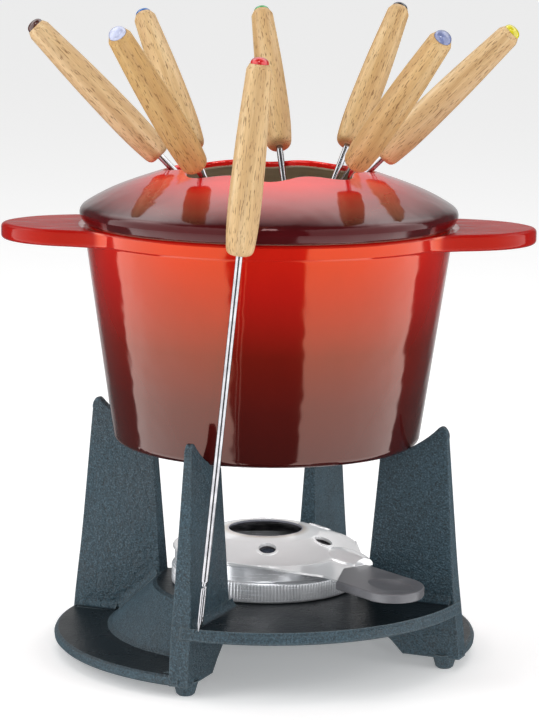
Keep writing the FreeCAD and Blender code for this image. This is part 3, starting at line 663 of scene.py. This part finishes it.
def sky(sh, strength):
    """Return a white background of this strength."""
    return sh.add("ShaderNodeBackground", {"Color": WHITE, "Strength": strength}).outputs[0]


def studio_world():
    """Light the set evenly, and give its glossy surfaces two tall side panels to mirror."""
    world = bpy.data.worlds.new("studio")
    world.use_nodes = True
    bpy.context.scene.world = world
    sh = Shader("studio", world.node_tree)
    towards = sh.add("ShaderNodeTexCoord").outputs["Generated"]
    x, y, z = sh.split(sh.add("ShaderNodeVectorMath", {0: towards}, operation="NORMALIZE").outputs[0])
    degrees = 180.0 / math.pi
    turn = sh.times(sh.math("ARCTAN2", x, sh.times(y, -1.0)), degrees)
    side = sh.math("ABSOLUTE", sh.plus(turn, 0.8))
    height = sh.times(sh.math("ARCSINE", z), degrees)
    rays = sh.add("ShaderNodeLightPath").outputs
    plain = sky(sh, 0.62)
    bright = sky(sh, 1.0)
    mirrored = sky(sh, mirrored_studio(sh, side, height))
    seen = sh.add("ShaderNodeMixShader", {0: rays["Is Camera Ray"], 1: plain, 2: bright})
    final = sh.add("ShaderNodeMixShader", {0: rays["Is Glossy Ray"], 1: seen.outputs[0], 2: mirrored})
    output = sh.add("ShaderNodeOutputWorld")
    sh.tree.links.new(final.outputs[0], output.inputs["Surface"])


def hang_light(data, place, aim):
    """Hang this light at a place, aimed at a point. Mirrors see the studio's own panels instead."""
    light = bpy.data.objects.new(data.name, data)
    light.location = place
    light.rotation_euler = (Vector(aim) - light.location).to_track_quat("-Z", "Y").to_euler()
    light.visible_glossy = False
    bpy.context.scene.collection.objects.link(light)
    return light


def soft_panel(name, place, size, power):
    """Add one soft panel aimed at the pot."""
    data = bpy.data.lights.new(name, "AREA")
    data.shape = "RECTANGLE"
    data.size, data.size_y = size
    data.energy = power
    hang_light(data, place, SET_CENTRE)


def burner_fill():
    """Add a soft beam on the burner, which would otherwise lie in the pot's shade."""
    data = bpy.data.lights.new("burner_fill", "SPOT")
    data.energy = FILL_POWER
    data.spot_size = math.radians(FILL_ANGLE)
    data.spot_blend = 1.0
    data.shadow_soft_size = 0.15
    hang_light(data, FILL_PLACE, FILL_AIM)


def burner_glow():
    """Add a small lamp under the pot that lights the burner, as its flame would."""
    data = bpy.data.lights.new("burner_glow", "AREA")
    data.shape = "DISK"
    data.size = GLOW_SIZE
    data.energy = GLOW_POWER
    lamp = hang_light(data, (0, 0, POT_LOW.z - GLOW_DROP), (0, 0, 0))
    lamp.visible_camera = False


def pale_floor():
    """Add the plain pale floor."""
    mesh = bmesh.new()
    bmesh.ops.create_grid(mesh, x_segments=1, y_segments=1, size=FLOOR_SIZE)
    data = bpy.data.meshes.new("floor")
    mesh.to_mesh(data)
    mesh.free()
    floor = bpy.data.objects.new("floor", data)
    bpy.context.scene.collection.objects.link(floor)
    floor.visible_glossy = False
    give(floor, Shader("floor").surface(
        Base_Color=(0.93, 0.93, 0.93), Roughness=0.9, Specular_IOR_Level=0.0,
        Emission_Color=WHITE, Emission_Strength=0.26))


def camera():
    """Add the camera with its pitch and roll."""
    data = bpy.data.cameras.new("camera")
    data.sensor_fit = "VERTICAL"
    data.angle = math.radians(CAMERA_FOV)
    data.clip_end = 100.0
    view = bpy.data.objects.new("camera", data)
    pitch = Matrix.Rotation(math.radians(90.0 - CAMERA_PITCH), 4, "X")
    roll = Matrix.Rotation(math.radians(CAMERA_ROLL), 4, "Z")
    view.matrix_world = Matrix.Translation(CAMERA_PLACE) @ pitch @ roll
    bpy.context.scene.collection.objects.link(view)
    bpy.context.scene.camera = view


dress()
studio_world()
for panel in SOFT_PANELS:
    soft_panel(*panel)
burner_fill()
burner_glow()
pale_floor()
camera()
bpy.context.scene.view_settings.view_transform = "Standard"
